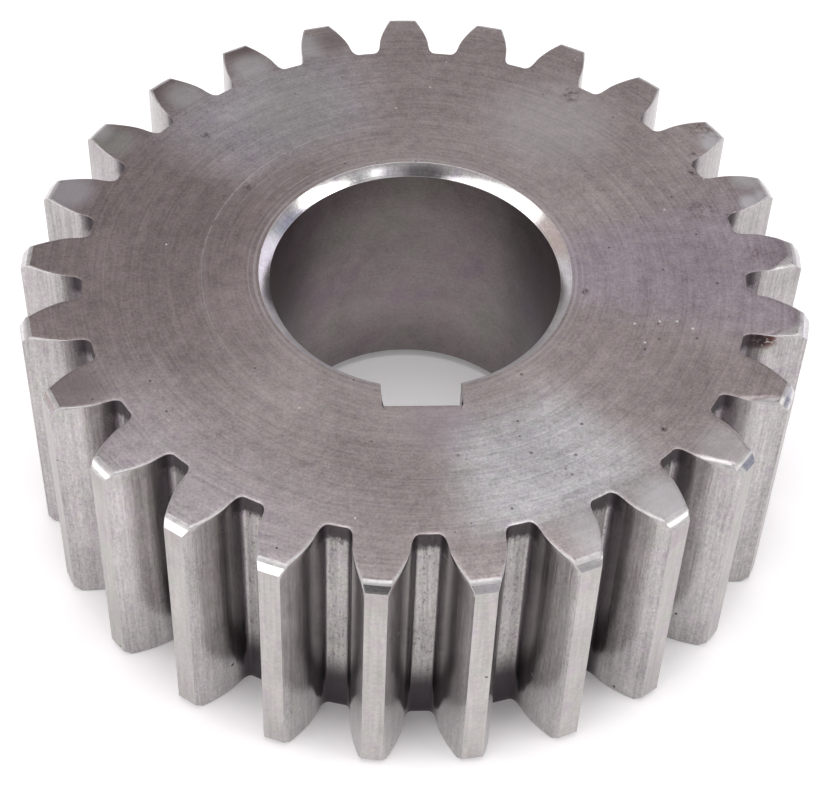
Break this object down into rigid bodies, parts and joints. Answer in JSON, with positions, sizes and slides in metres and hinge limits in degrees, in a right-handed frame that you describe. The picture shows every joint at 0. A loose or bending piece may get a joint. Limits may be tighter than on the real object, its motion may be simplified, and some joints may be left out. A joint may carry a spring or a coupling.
{
  "type": "spur gear",
  "caption": "One-piece steel spur gear with straight involute teeth, chamfered tips and a chamfered bore with a keyway.",
  "frame": {"origin": "on the bore's axis in the lower face", "axes": "+Z along the bore, from the lower face to the upper one; a tooth stands on +Y and the keyway is cut towards -Y"},
  "size_m": [0.081, 0.0808, 0.03],
  "materials": {
    "gear_steel": "bare steel: turned faces, hobbed flanks with fine streaks, bright chamfers"
  },
  "bodies": {
    "root": {"spur_gear": "gear_steel"}
  },
  "joints": []
}
